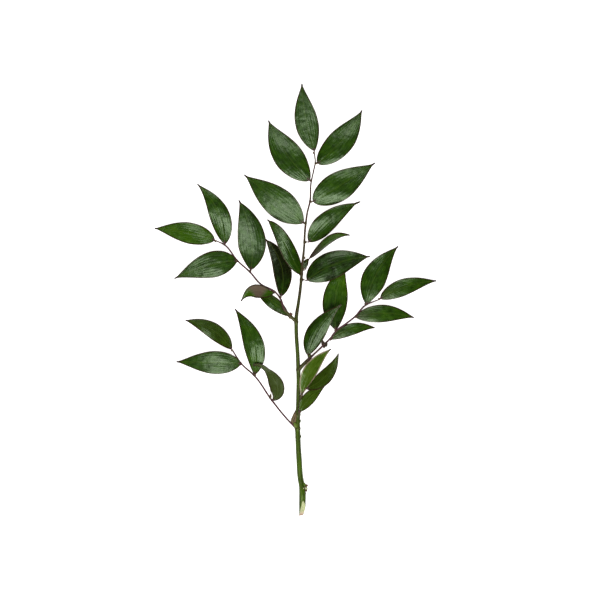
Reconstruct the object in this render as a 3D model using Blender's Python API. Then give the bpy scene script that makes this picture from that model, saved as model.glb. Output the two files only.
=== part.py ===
import math

import bmesh
import bpy
from mathutils import Vector

# A preserved spray of ruscus, cut and lying on a flat surface: a main leafy stem with four leafy
# side shoots. X is across the spray, Y runs from the cut end to the top leaf, Z is up.
# Every size and place below is in millimetres, measured from the middle of the whole spray.
MM = 0.001

# Leaf blades
blade_thickness = 0.8
blade_rows = 14           # steps along a leaf
blade_columns = 4         # steps across a leaf
end_crowding = 0.55       # 0 is even steps along a leaf, 1 is many more of them near its ends
end_half_width = 0.4      # what is left of the blade at its point and at its foot
foot_bluntness = 0.7      # 0.5 is as round as an ellipse
tip_sharpness = 1.15      # above 1 hollows the margins before the thin tail
tail_share = 0.045        # the tail's share of the leaf's length
petiole_radius = 0.95
petiole_reach = 0.12      # how far the leaf stalk runs into the blade, as a share of its length
petiole_end_radius = 0.2  # it closes inside the blade

# Stems and twigs
stem_sides = 12
twig_sides = 8
petiole_sides = 6
shortest_edge = 0.02      # shorter ones, left where pieces are joined, are closed up
twig_end_trim = 2.0       # leaf stalks spring at least this far back from a twig's end
floor = 0.0

# The slanted cut at the foot of the main stem, seen from above
cut_top_y = -210.5
cut_bottom_y = -226.6

leaf_green = (0.035, 0.085, 0.012)
pale_leaf_green = (0.055, 0.105, 0.015)

# Each route is a list of (x, y, z, radius).
main_stem_route = [
    (7.2, -216.0, 3.1, 3.4), (7.3, -204.5, 3.4, 3.6), (6.6, -196.0, 3.0, 3.2), (5.3, -188.0, 2.8, 3.1),
    (4.0, -173.0, 2.7, 3.0), (2.9, -152.0, 2.7, 2.8), (2.1, -134.0, 2.6, 2.8), (2.6, -115.0, 2.8, 2.5),
    (3.1, -94.0, 3.3, 2.3), (2.9, -73.0, 4.2, 2.2), (1.9, -52.0, 5.4, 2.1), (0.7, -30.0, 6.8, 2.05),
    (0.9, -18.0, 7.6, 2.0), (2.7, -5.0, 8.4, 1.75), (5.2, 13.0, 9.4, 1.6), (6.9, 34.0, 10.5, 1.4),
    (8.9, 55.0, 11.4, 1.15), (10.4, 78.0, 12.1, 1.1), (12.3, 91.5, 12.5, 0.95), (15.2, 104.0, 12.8, 0.95),
    (16.1, 122.0, 13.0, 0.8), (18.8, 135.0, 13.0, 0.75), (20.7, 145.0, 13.0, 0.7),
    (19.6, 155.0, 13.0, 0.65),
]
side_shoot_routes = {
    "upper_left": [
        (-2.4, -18.9, 8.0, 1.1), (-6.5, -15.4, 8.6, 1.2), (-11.8, -9.4, 9.2, 1.05), (-15.7, 1.4, 9.8, 1.0),
        (-21.5, 8.7, 10.4, 1.0), (-37.0, 17.3, 11.0, 0.95), (-47.8, 29.6, 11.2, 0.95),
        (-61.0, 41.5, 10.8, 0.9), (-74.3, 58.0, 10.0, 0.8), (-84.0, 62.8, 9.2, 0.7),
    ],
    "lower_left": [
        (-1.5, -133.0, 3.2, 1.2), (-5.0, -129.0, 3.9, 1.1), (-12.3, -121.0, 5.0, 1.0),
        (-25.0, -105.0, 6.8, 1.0), (-43.0, -79.5, 8.4, 0.95), (-57.0, -66.5, 8.8, 0.9),
        (-66.6, -52.0, 8.4, 0.75),
    ],
    "right": [
        (6.4, -69.6, 5.0, 1.5), (15.0, -60.9, 6.6, 1.35), (24.1, -52.3, 7.8, 1.2), (30.8, -45.8, 8.6, 1.2),
        (36.5, -40.2, 9.2, 1.05), (42.5, -32.5, 9.6, 1.0), (52.5, -25.0, 10.2, 0.95),
        (62.0, -17.5, 10.4, 0.95), (74.5, -4.5, 10.2, 0.9), (81.9, -1.4, 9.8, 0.8), (88.4, 1.0, 9.2, 0.7),
    ],
    "lower_right": [
        (3.6, -117.5, 6.2, 1.0), (4.6, -110.0, 7.6, 1.0), (6.3, -100.5, 8.6, 1.0), (9.4, -92.5, 9.2, 0.95),
        (15.0, -85.0, 9.4, 0.8),
    ],
}


def leaf(foot, bends, point, half_width, widest, tilt, cup, **shape):
    """One leaf. Its midrib leaves the foot, leans to each bend and ends at the point; widest is where
    the blade is broadest, as a share of its length. Tilt lifts the left edge, seen from the foot, and
    lowers the right one; cup lifts both edges; twist turns the blade along its length. Roll gives
    degrees of turning about the midrib at shares of the length, and stalk the places that the leaf
    stalk passes between the twig and the foot."""
    made = {
        "foot": foot, "bends": bends, "point": point, "half_width": half_width, "widest": widest,
        "tilt": tilt, "cup": cup, "twist": 0, "roll": [(0, 0), (1, 0)], "stalk": [],
        "bluntness": foot_bluntness, "sharpness": tip_sharpness, "tail": tail_share,
    }
    made.update(shape)
    return made


main_leaves = [
    leaf(
        (19.9, 156.7, 13), [(11.8, 179.8, 17.6), (7.4, 203.1, 22)], (6.7, 226.4, 26), 11.3, 0.42, -0.3,
        -0.6, twist=-4, bluntness=0.85,
    ),
    leaf(
        (23.1, 143.6, 13), [(55.5, 169.0, 22)], (69.9, 199.6, 8), 12.8, 0.4, -1.8, -2, twist=-2,
        bluntness=0.62,
    ),
    leaf(
        (14.7, 125.7, 13), [(-6.2, 146.0, 20.7), (-20.5, 167.1, 15)], (-28.4, 189.0, 6), 14.5, 0.41, 1,
        -1.6, twist=4.3,
    ),
    leaf(
        (18.4, 103.7, 13), [(51.4, 122.0, 22.5)], (83.7, 144.4, 8), 14.6, 0.4, -0.2, -1.2, twist=-9.5,
        tail=0.055, bluntness=0.62,
    ),
    leaf(
        (8.4, 81.1, 12.5), [(-12.3, 97.7, 16), (-33.1, 114.6, 22)], (-53.9, 131.7, 12), 14.7, 0.41, -3.4,
        -0.8, twist=4, bluntness=0.8,
    ),
    leaf(
        (14.2, 61.2, 12), [(33.8, 89.5, 28)], (68.0, 103.4, 18), 9.9, 0.37, 3.1, -2, twist=-4, tail=0.09,
        sharpness=1.0,
    ),
    leaf(
        (14.6, 44.0, 11.5), [(27.8, 56.4, 15.5), (37.4, 71.9, 18)], (57.0, 68.2, 14), 3.2, 0.55, 5, -1,
        stalk=[(9.6, 31.8, 10.8), (12.2, 38.0, 11.2)],
    ),
    leaf(
        (12.2, 20.9, 11.5), [(38.0, 42.8, 16)], (78.4, 45.9, 9), 13.6, 0.42, -0.3, -3.2, twist=4,
        sharpness=1.05,
    ),
    leaf(
        (7.0, 27.0, 10.2), [(-7.7, 45.0, 13), (-11.9, 70.6, 24)], (-29.6, 84.4, 20), 7.3, 0.4, -0.1, -1,
        twist=-10, sharpness=0.8,
    ),
    leaf((8.4, 33.0, 10.8), [(10.0, 38.5, 12.6)], (13.1, 43.6, 12.2), 2.2, 0.45, 0, -0.3),
]
upper_left_leaves = [
    leaf((-85.0, 63.3, 9), [(-115.2, 73.5, 12)], (-148.2, 75.5, 5), 10.4, 0.42, 0.9, -1.2, twist=-7),
    leaf((-74.3, 59.4, 10.3), [(-74.3, 96.2, 28)], (-102.8, 121.6, 18), 9.9, 0.4, -1.2, -1, twist=4),
    leaf(
        (-61.4, 41.2, 10.5), [(-90.8, 40.2, 20)], (-127.4, 22.8, 5), 12.9, 0.4, -2.6, -0.6, twist=-3,
        bluntness=0.75,
    ),
    leaf(
        (-47.0, 31.8, 11.4), [(-42.7, 57.5, 7.5), (-47.0, 81.9, 24)], (-59.4, 104.8, 20), 13.9, 0.41,
        0.2, -1.6, bluntness=0.85, sharpness=1.05,
    ),
    leaf((-15.4, 4.4, 9.4), [(-6.4, 38.0, 7)], (-31.8, 64.5, 3), 8.7, 0.42, 3, -1, sharpness=0.85),
    leaf(
        (-21.5, 9.7, 10.4), [(-31.5, 1.6, 14), (-44.9, 20.2, 19)], (-57.1, -1.0, 12), 6.2, 0.57, 2, 2,
        bluntness=1.2, sharpness=1.35,
    ),
    leaf((-6.6, -17.0, 8.4), [(-22.6, -2.0, 5)], (-43.6, 11.8, 3), 5.6, 0.5, 4, -1, bluntness=1.0),
]
lower_left_leaves = [
    leaf(
        (-67.2, -51.2, 8.4), [(-84.9, -25.6, 14)], (-115.8, -21.2, 3), 7.6, 0.43, 5.5, -1,
        bluntness=0.75, sharpness=1.05,
    ),
    leaf((-57.2, -66.4, 8.8), [(-90.5, -64.8, 18)], (-125.4, -64.8, 1), 11.3, 0.4, -2.5, -0.3, twist=-2),
    leaf(
        (-43.1, -78.0, 8.4), [(-36.6, -51.6, 21.5), (-49.2, -28.6, 24)], (-63.7, -9.0, 5), 9.9, 0.4,
        -1.8, -1, bluntness=0.8,
    ),
    leaf(
        (-24.7, -105.3, 7), [(-8.0, -97.0, 9.5), (-31.6, -61.3, 15)], (-44.6, -68.4, 17), 6.8, 0.32, 1,
        0.5, twist=-5, roll=[(0, 0), (0.35, 0), (0.5, -35), (0.67, -62), (0.8, -50), (1, -20)],
        bluntness=1.2,
    ),
]
right_leaves = [
    leaf((89.2, 1.8, 9), [(115.7, 18.8, 14)], (148.2, 20.4, 2), 8.1, 0.4, -0.2, -1),
    leaf(
        (74.5, -4.5, 10), [(79.8, 31.8, 20)], (108.1, 56.8, 3), 12.0, 0.41, 0, -2, twist=6,
        bluntness=0.95,
    ),
    leaf((63.5, -17.6, 10), [(97.1, -9.7, 13)], (124.6, -18.3, 0.8), 8.5, 0.4, -0.6, -1),
    leaf((42.5, -31.2, 9.5), [(36.6, 4.8, 11)], (52.7, 38.8, 3), 12.3, 0.44, 0.5, -1.5, bluntness=0.9),
    leaf((36.8, -40.7, 9.2), [(60.4, -25.2, 14)], (83.4, -29.0, 4), 5.7, 0.42, -0.3, -1),
    leaf((12.9, -57.8, 7.2), [(18.4, -27.2, 14.5)], (48.0, -4.6, 20), 9.3, 0.4, -0.7, -2, bluntness=0.8),
]
lower_right_leaves = [
    leaf((6.3, -99.5, 9), [(11.9, -69.0, 17)], (37.3, -51.2, 8), 6.7, 0.45, 3, -1, bluntness=1.05),
    leaf((11.8, -93.0, 9.6), [(37.0, -82.5, 17)], (45.1, -56.0, 8), 6.6, 0.42, -4, -1),
    leaf((3.9, -117.0, 7.4), [(14.2, -99.4, 9.6)], (32.0, -88.7, 4), 5.9, 0.42, 3, -0.5),
]

# The short stump of a side branch cut off near the foot, and the papery scale at a side shoot
stump_route = [(5.8, -200.3, 3.2, 1.8), (9.0, -198.4, 3.4, 2.4), (12.2, -196.8, 3.4, 2.7)]
scale_blade = leaf((1.0, -132.0, 4.5), [(-0.6, -123.0, 6.5)], (-1.6, -114.5, 6.0), 2.3, 0.45, 0, 0)


def remove_everything():
    for thing in list(bpy.data.objects):
        bpy.data.objects.remove(thing, do_unlink=True)


def metres(points):
    return [(x * MM, y * MM, z * MM) for x, y, z in points]


def new_object(name, points, faces):
    """A mesh object from points in millimetres."""
    mesh = bpy.data.meshes.new(name)
    mesh.from_pydata(metres(points), [], faces)
    mesh.update()
    thing = bpy.data.objects.new(name, mesh)
    bpy.context.scene.collection.objects.link(thing)
    return thing


def ring(centre, ahead, radius, sides):
    """One ring of a round stem, with a side of it flat underneath, kept above the floor."""
    side = ahead.cross(Vector((0, 0, 1))).normalized()
    up = side.cross(ahead).normalized()
    points = []
    for k in range(sides):
        angle = 2 * math.pi * (k + 0.5) / sides
        point = centre + radius * (math.sin(angle) * side - math.cos(angle) * up)
        points.append((point.x, point.y, max(point.z, floor)))
    return points


def tube_points(route, sides):
    points = []
    last = len(route) - 1
    for i, (x, y, z, radius) in enumerate(route):
        before = Vector(route[max(i - 1, 0)][:3])
        after = Vector(route[min(i + 1, last)][:3])
        points += ring(Vector((x, y, z)), (after - before).normalized(), radius, sides)
    return points


def tube_faces(rings, sides):
    faces = [tuple(range(sides))]
    for i in range(rings - 1):
        for k in range(sides):
            a = i * sides + k
            b = i * sides + (k + 1) % sides
            faces.append((a, a + sides, b + sides, b))
    first = (rings - 1) * sides
    faces.append(tuple(reversed(range(first, first + sides))))
    return faces


def stem(name, route, sides, slanted_cut=False):
    """A round stem through the route, closed at both ends."""
    points = tube_points(route, sides)
    if slanted_cut:
        height = max(z for x, y, z in points[:sides])
        for k in range(sides):
            x, y, z = points[k]
            points[k] = (x, cut_bottom_y + (cut_top_y - cut_bottom_y) * z / height, z)
    return new_object(name, points, tube_faces(len(route), sides))


def along(leaf, share):
    """A place on a leaf's midrib, a curve that leans to each of its bends in turn."""
    places = [Vector(place) for place in (leaf["foot"], *leaf["bends"], leaf["point"])]
    while len(places) > 1:
        places = [a * (1 - share) + b * share for a, b in zip(places, places[1:])]
    return places[0]


def breadth(leaf, share):
    """Half width along the blade, as a share of its greatest: a blunt foot and a thin tail."""
    body = min(share / (1 - leaf["tail"]), 1)
    widest = leaf["widest"]
    if body < widest:
        return (1 - (1 - body / widest) ** 2) ** leaf["bluntness"]
    power = leaf["sharpness"] * widest / (1 - widest)
    greatest = widest ** power * (1 - widest) ** leaf["sharpness"]
    return body ** power * (1 - body) ** leaf["sharpness"] / greatest


def roll_at(leaf, share):
    """How far the blade is turned about its midrib, in radians."""
    for (start, first), (end, second) in zip(leaf["roll"], leaf["roll"][1:]):
        if share <= end:
            return math.radians(first + (second - first) * (share - start) / (end - start))


def blade(name, leaf):
    """One leaf blade as a thin closed sheet that follows its midrib."""
    points = []
    step = 0.001
    for i in range(blade_rows + 1):
        even = i / blade_rows
        crowded = (1 - math.cos(math.pi * even)) / 2
        share = even * (1 - end_crowding) + crowded * end_crowding
        middle = along(leaf, share)
        ahead = (along(leaf, share + step) - along(leaf, share - step)).normalized()
        left = Vector((-ahead.y, ahead.x, 0)).normalized()
        roll = roll_at(leaf, share)
        sideways = left * math.cos(roll) + ahead.cross(left) * math.sin(roll)
        upward = Vector((0, 0, 1)) * math.cos(roll) - left * math.sin(roll)
        spread = breadth(leaf, share)
        tilt = leaf["tilt"] + leaf["twist"] * (share - 0.5)
        for j in range(blade_columns + 1):
            across = 1 - 2 * j / blade_columns
            place = middle + sideways * across * (leaf["half_width"] * spread + end_half_width)
            place += upward * (tilt * across + leaf["cup"] * across ** 2) * spread
            points.append(tuple(place))
    faces = []
    columns = blade_columns + 1
    for i in range(blade_rows):
        for j in range(blade_columns):
            a = i * columns + j
            b, c, d = a + 1, a + columns + 1, a + columns
            if j < blade_columns / 2:
                faces += [(a, b, c), (a, c, d)]
            else:
                faces += [(a, b, d), (b, c, d)]
    thing = new_object(name, points, faces)
    thickness = thing.modifiers.new("thickness", "SOLIDIFY")
    thickness.thickness = blade_thickness * MM
    thickness.offset = 0
    return thing


def nearest_on(route, place):
    """The place on a twig's route that is nearest to a leaf's foot, short of the twig's end."""
    best = None
    for i in range(len(route) - 1):
        start = Vector(route[i][:3])
        stretch = Vector(route[i + 1][:3]) - start
        longest = 1.0
        if i == len(route) - 2:
            longest = 1 - twig_end_trim / stretch.length
        share = min(max((place - start).dot(stretch) / stretch.length_squared, 0), longest)
        found = start + stretch * share
        if best is None or (found - place).length < (best - place).length:
            best = found
    return best


def petiole(name, route, leaf):
    """The short stalk that joins a leaf to its twig and runs on as the root of the midrib."""
    spring = nearest_on(route, Vector((leaf["stalk"] + [leaf["foot"]])[0]))
    stalk = [(*place, petiole_radius * 0.9) for place in [spring] + leaf["stalk"]]
    stalk.append((*along(leaf, petiole_reach / 3), petiole_radius))
    stalk.append((*along(leaf, petiole_reach), petiole_end_radius))
    return stem(name, stalk, petiole_sides)


def leafy_material(name, colour):
    material = bpy.data.materials.new(name)
    material.use_nodes = True
    shader = material.node_tree.nodes["Principled BSDF"]
    shader.inputs["Base Color"].default_value = (*colour, 1)
    shader.inputs["Roughness"].default_value = 0.45
    shader.inputs["Metallic"].default_value = 0.0
    return material


def close_up_short_edges(mesh):
    shape = bmesh.new()
    shape.from_mesh(mesh)
    bmesh.ops.triangulate(shape, faces=shape.faces)
    bmesh.ops.dissolve_degenerate(shape, dist=shortest_edge * MM, edges=shape.edges)
    bmesh.ops.triangulate(shape, faces=shape.faces)
    shape.to_mesh(mesh)
    shape.free()


def fuse(body, pieces):
    """Joins the pieces to the body in one Boolean union, then removes them."""
    group = bpy.data.collections.new(body.name + "_pieces")
    bpy.context.scene.collection.children.link(group)
    for piece in pieces:
        bpy.context.scene.collection.objects.unlink(piece)
        group.objects.link(piece)
    union = body.modifiers.new("union", "BOOLEAN")
    union.operation = "UNION"
    union.operand_type = "COLLECTION"
    union.collection = group
    union.solver = "EXACT"
    shape = body.evaluated_get(bpy.context.evaluated_depsgraph_get())
    joined = bpy.data.meshes.new_from_object(shape)
    body.modifiers.remove(union)
    close_up_short_edges(joined)
    body.data = joined
    for piece in list(group.objects):
        bpy.data.objects.remove(piece, do_unlink=True)
    bpy.data.collections.remove(group)


def leafy_shoot(name, body, route, leaves, colour, extras=()):
    """One stem with its leaves, in one closed solid."""
    pieces = list(extras)
    for number, leaf in enumerate(leaves, start=1):
        pieces.append(blade(f"{name}_blade_{number}", leaf))
        pieces.append(petiole(f"{name}_petiole_{number}", route, leaf))
    fuse(body, pieces)
    body.data.materials.clear()
    body.data.materials.append(leafy_material(name + "_green", colour))
    body.data.shade_smooth()
    body.data.set_sharp_from_angle(angle=math.radians(40))


def main_leafy_stem():
    body = stem("main_leafy_stem", main_stem_route, stem_sides, slanted_cut=True)
    stump = stem("stump", stump_route, twig_sides)
    scale = blade("papery_scale", scale_blade)
    leafy_shoot("main_leafy_stem", body, main_stem_route, main_leaves, leaf_green, [stump, scale])


def side_shoot(place, leaves, colour):
    name = place + "_leafy_shoot"
    route = side_shoot_routes[place]
    body = stem(name, route, twig_sides)
    leafy_shoot(name, body, route, leaves, colour)


remove_everything()
main_leafy_stem()
side_shoot("upper_left", upper_left_leaves, leaf_green)
side_shoot("lower_left", lower_left_leaves, leaf_green)
side_shoot("right", right_leaves, leaf_green)
side_shoot("lower_right", lower_right_leaves, pale_leaf_green)
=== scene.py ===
import functools
import math

import bpy
import numpy as np
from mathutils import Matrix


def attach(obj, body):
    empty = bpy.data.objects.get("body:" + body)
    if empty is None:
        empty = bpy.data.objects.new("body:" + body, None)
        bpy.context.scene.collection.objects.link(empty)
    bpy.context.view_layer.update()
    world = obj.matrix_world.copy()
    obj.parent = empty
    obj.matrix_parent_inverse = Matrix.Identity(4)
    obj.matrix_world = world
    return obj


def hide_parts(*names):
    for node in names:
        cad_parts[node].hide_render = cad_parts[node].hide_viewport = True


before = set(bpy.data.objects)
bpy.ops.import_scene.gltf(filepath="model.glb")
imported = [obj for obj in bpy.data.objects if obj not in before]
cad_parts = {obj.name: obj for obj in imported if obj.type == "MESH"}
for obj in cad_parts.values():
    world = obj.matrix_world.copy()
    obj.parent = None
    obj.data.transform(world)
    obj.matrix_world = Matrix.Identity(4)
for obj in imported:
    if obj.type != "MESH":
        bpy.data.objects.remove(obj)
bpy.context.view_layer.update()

# A preserved spray of ruscus, cut and lying on a table: a main leafy stem and four leafy side shoots.
# x is across the spray, y runs from the cut end to the top leaf, z is up. Lengths are in millimetres.
mm = 0.001

bladeLook = {
    "rows": 84,                # steps along a leaf, closer together at both ends
    "columns": 52,             # steps across it, closer together at the margins
    "thickness": 0.5,          # at the midrib
    "marginThickness": 0.3,
    "footHalfWidth": 0.5,
    "footBluntness": 0.7,      # 0.5 is as round as an ellipse
    "tipHalfWidth": 1.15,
    "tipSharpness": 1.2,       # above 1 hollows the margins before the tail
    "marginWander": 0.012,     # share of the half width
    "ripple": 0.5,             # how far the margins wave up and down
    "bulge": 0.22,             # slow swells of the surface
    "grooveDepth": 0.16,       # the midrib, sunk into the upper face
    "grooveWidth": 0.6,
    "ribHeight": 0.38,         # the same midrib, standing out below
    "mainVeins": 5,            # on each side of the midrib
    "veinRelief": 0.05,
    "reliefFade": 3.0,         # the half width below which veins and midrib fade
    "rimBulge": 0.85,          # how round the margin is, 1 is half a circle
    "crowding": 0.8,           # of the columns at the margins
}

bractLook = dict(
    bladeLook, rows=14, columns=10, thickness=0.26, marginThickness=0.16, footHalfWidth=0.7,
    tipHalfWidth=0.1, tipSharpness=0.95, marginWander=0.05, ripple=0.12, bulge=0.05, grooveDepth=0.0,
    ribHeight=0.05, mainVeins=3, veinRelief=0.03,
)

stemLook = {
    "ringSpacing": 1.1,
    "stemSides": 32,
    "twigSides": 20,
    "petioleSides": 12,
    "knobSides": 14,
    "ridges": 9,               # fine lengthwise ridges
    "twigRidges": 6,
    "ridgeDepth": 0.028,       # share of the radius
    "nodeSwelling": 0.2,       # share of the radius, where a leaf springs
    "nodeLength": 1.5,
    "petioleRadius": 0.72,
    "petioleReach": 0.1,       # how far the leaf stalk runs on under the blade, as a share of its length
    "edgeBrownAndShade": 0.7,          # how much browner and darker the main stem's two sides are, the right one more: partly brown bark, partly painted shade
    "paintedHighlightBand": 0.1,           # how pale the painted highlight along its top is
    "purpleFade": 6.0,         # the length over which a twig turns from green to purple
    "tableGap": 0.02,
}


def linear(hexColour):
    # an sRGB hex colour as the linear colour that the shaders take
    values = [int(hexColour[k:k + 2], 16) / 255 for k in (1, 3, 5)]
    return (*[v / 12.92 if v <= 0.04045 else ((v + 0.055) / 1.055) ** 2.4 for v in values], 1.0)


colourMix = {"data_type": "RGBA", "output": 2}
smoothStep = {"interpolation_type": "SMOOTHSTEP"}


def plug(node, inputs):
    # gives each socket a value or another node's output
    for socket, value in inputs.items():
        if isinstance(value, bpy.types.NodeSocket):
            node.id_data.links.new(value, node.inputs[socket])
        else:
            node.inputs[socket].default_value = value


def addNode(tree, kind, inputs=None, output=0, stops=None, **settings):
    # one node: stops fills a colour ramp, and output says which of its results comes back
    node = tree.nodes.new("ShaderNode" + kind)
    for name, value in settings.items():
        setattr(node, name, value)
    plug(node, inputs or {})
    if stops:
        ramp = node.color_ramp
        while len(ramp.elements) < len(stops):
            ramp.elements.new(0.5)
        for element, (position, hexColour) in zip(ramp.elements, stops):
            element.position = position
            element.color = linear(hexColour)
    return node.outputs[output]


def readValues(add, *names):
    # the values that the shells carry at their points
    return [add("Attribute", output="Fac", attribute_name=name) for name in names]


def newMaterial(name, roughness, ior):
    # a plain material, the function that adds nodes to it, and its shader
    material = bpy.data.materials.new(name)
    material.use_nodes = True
    shader = material.node_tree.nodes["Principled BSDF"]
    plug(shader, {"Metallic": 0.0, "Roughness": roughness, "IOR": ior})
    return material, functools.partial(addNode, material.node_tree), shader


# Ruscus leaf, preserved in glycerine and green dye: a supple leathery blade with its wax still on.
# It gives the eye deep greens with lengthwise streaks, a satin sheen broken up by the veins, a thin
# purple-brown margin and point, and a matt grey-purple underside.
leafColours = {
    "greens": [                # dark to light
        (0.0, "#070d00"), (0.12, "#122501"), (0.3, "#1e3c02"),
        (0.5, "#2c4f03"), (0.75, "#406607"), (1.0, "#5e821f"),
    ],
    "vein": "#5b7820",
    "midrib": "#586b22",
    "bloom": "#4c413b",        # grey-purple flush near the foot
    "olive": "#3a4206",
    "margin": "#33190c",
    "paleMargin": "#c9b597",   # where a margin has dried
    "point": "#38191e",
    "underside": "#645643",
    "undersideFlush": "#6d4f4c",
    "mottleShare": 0.75,       # how much patches and streaks change the green
    "streakShare": 0.6,
    "veinShare": 0.16,         # how much of their own colour veins and midrib show
    "midribShare": 0.35,
    "veinShareBelow": 0.25,
    "veinSpacing": 1.3,        # mm between fine veins, drawn a little coarser than life so that they show
    "streakWidth": 1.3,
    "streakLength": 8.0,
    "pillowSize": 5.0,         # slow hills and hollows that break up the sheen
    "pillowDepth": 0.45,
    "mottleSize": 7.0,
    "pebbleSize": 0.45,
    "reliefDepth": 0.055,      # of the streaks, veins and pebbles together
    "streakRelief": 0.75,      # and the share that each has in it
    "veinGroove": -0.3,
    "pebbleRelief": 0.08,
    "waxTint": "#e5ffd4",
    "upperRoughness": 0.275,
    "wornRoughness": 0.3,      # added where a leaf's wax is worn off
    "undersideRoughness": 0.62,
}


def preservedLeafMaterial():
    look = leafColours
    material, add, shader = newMaterial("glycerinePreservedRuscusLeaf", look["upperRoughness"], 1.45)
    plug(shader, {"Specular Tint": linear(look["waxTint"])})
    along, acrossMm, lengthMm, marginMm, ribMm, seed = readValues(
        add, "along", "acrossMm", "lengthMm", "marginMm", "ribMm", "seed"
    )
    tone, bloom, olive, paleRim, dull, turned = readValues(
        add, "tone", "bloom", "olive", "paleRim", "dull", "turned"
    )
    place = add("TexCoord", output="Object")

    # streaks that follow the veins from foot to point
    grain = add("CombineXYZ", {"X": acrossMm, "Y": lengthMm, "Z": seed})
    grainScale = (1 / look["streakWidth"], 1 / look["streakLength"], 1.0)
    grain = add("Mapping", {"Vector": grain, "Scale": grainScale})
    streak = add("TexNoise", {"Vector": grain, "Scale": 1.0, "Detail": 3.0})
    mottle, pebble, hills = [
        add("TexNoise", {"Vector": place, "Scale": 1 / (look[size] * mm), "Detail": detail})
        for size, detail in (("mottleSize", 3.0), ("pebbleSize", 2.0), ("pillowSize", 0.5))
    ]

    # fine parallel veins, wandering a little
    wander = add("Math", {0: mottle, 1: 0.7, 2: acrossMm}, operation="MULTIPLY_ADD")
    toVein = add("Math", {0: wander, 1: look["veinSpacing"] / 2}, operation="PINGPONG")
    vein = add("MapRange", {0: toVein, 1: 0.02, 2: 0.26, 3: 1.0, 4: 0.0}, **smoothStep)
    toRib = add("Math", {0: ribMm}, operation="ABSOLUTE")
    midrib = add("MapRange", {0: toRib, 1: 0.08, 2: 0.55, 3: 1.0, 4: 0.0}, **smoothStep)

    # the green of this leaf, darker and lighter by mottle and streak, with the grey-purple flush that
    # some leaves have, fading from the foot
    mottled, streaked = [
        add("Math", {0: pattern, 1: look[share], 2: -look[share] / 2}, operation="MULTIPLY_ADD")
        for pattern, share in ((mottle, "mottleShare"), (streak, "streakShare"))
    ]
    level = add("Math", {0: tone, 1: mottled}, operation="ADD")
    level = add("Math", {0: level, 1: streaked}, operation="ADD")
    green = add("ValToRGB", {"Fac": level}, stops=look["greens"])
    veinShare = add("Math", {0: vein, 1: look["veinShare"]}, operation="MULTIPLY")
    ribShare = add("Math", {0: midrib, 1: look["midribShare"]}, operation="MULTIPLY")
    fromFoot = add("MapRange", {0: along, 1: 0.05, 2: 0.5, 3: 1.0, 4: 0.0}, **smoothStep)
    flush = add("Math", {0: fromFoot, 1: bloom}, operation="MULTIPLY", use_clamp=True)
    for share, tint in ((olive, "olive"), (veinShare, "vein"), (ribShare, "midrib"), (flush, "bloom")):
        green = add("Mix", {0: share, 6: green, 7: linear(look[tint])}, **colourMix)

    # the underside: greyer, purple in patches
    grey, purple = linear(look["underside"]), linear(look["undersideFlush"])
    below = add("Mix", {0: mottle, 6: grey, 7: purple}, **colourMix)
    veinBelow = add("Math", {0: vein, 1: look["veinShareBelow"]}, operation="MULTIPLY")
    below = add("Mix", {0: veinBelow, 6: below, 7: linear(look["vein"])}, **colourMix)
    both = add("Mix", {0: turned, 6: green, 7: below}, **colourMix)

    # a thin dark margin, broken up by the mottle, and a dark point and foot
    margin = add("MapRange", {0: marginMm, 1: 0.5, 2: 1.7, 3: 1.0, 4: 0.0}, **smoothStep)
    broken = add("Math", {0: mottle, 1: 1.6, 2: 0.1}, operation="MULTIPLY_ADD")
    margin = add("Math", {0: margin, 1: broken}, operation="MULTIPLY", use_clamp=True)
    dark, pale = linear(look["margin"]), linear(look["paleMargin"])
    rim = add("Mix", {0: paleRim, 6: dark, 7: pale}, **colourMix)
    both = add("Mix", {0: margin, 6: both, 7: rim}, **colourMix)
    atPoint = add("MapRange", {0: along, 1: 0.925, 2: 0.985, 3: 0.0, 4: 1.0}, **smoothStep)
    atFoot = add("MapRange", {0: along, 1: 0.005, 2: 0.05, 3: 0.8, 4: 0.0}, **smoothStep)
    atEnds = add("Math", {0: atPoint, 1: atFoot}, operation="MAXIMUM")
    both = add("Mix", {0: atEnds, 6: both, 7: linear(look["point"])}, **colourMix)

    # satin wax above and a matt underside, the wax a little patchy
    waxy = look["upperRoughness"]
    upper = add("MapRange", {0: streak, 1: 0.3, 2: 0.7, 3: waxy - 0.04, 4: waxy + 0.06})
    upper = add("Math", {0: dull, 1: look["wornRoughness"], 2: upper}, operation="MULTIPLY_ADD")
    gloss = add("Mix", {0: turned, 2: upper, 3: look["undersideRoughness"]})

    # relief: streaks, veins and pebbles on slow hills
    height = add("Math", {0: streak, 1: look["streakRelief"]}, operation="MULTIPLY")
    for pattern, share in ((vein, "veinGroove"), (pebble, "pebbleRelief")):
        height = add("Math", {0: pattern, 1: look[share], 2: height}, operation="MULTIPLY_ADD")
    deep, fine = look["pillowDepth"] * mm, look["reliefDepth"] * mm
    pillow = add("Bump", {"Strength": 0.8, "Distance": deep, "Height": hills})
    bump = add("Bump", {"Strength": 0.8, "Distance": fine, "Height": height, "Normal": pillow})
    plug(shader, {"Base Color": both, "Roughness": gloss, "Normal": bump})
    return material


# Green bark of a young ruscus stem, smooth and waxy with fine lengthwise ridges. It gives the eye a
# mid green at the cut end, browner and then purple towards the top, and dark rings at the nodes.
barkColours = {
    "purple": "#532e38",       # where the bark is ripe, whatever its other colours
    "young": "#8f9f52",        # swollen young tissue, and the painted highlight along the top of the stem
    "node": "#3f321d",
    "fleck": "#776f54",
    "ridgeWidth": 0.7,
    "ridgeLength": 18.0,
    "fleckSize": 1.6,
    "patchSize": 6.0,          # of the browner patches
    "reliefDepth": 0.14,
}


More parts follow.
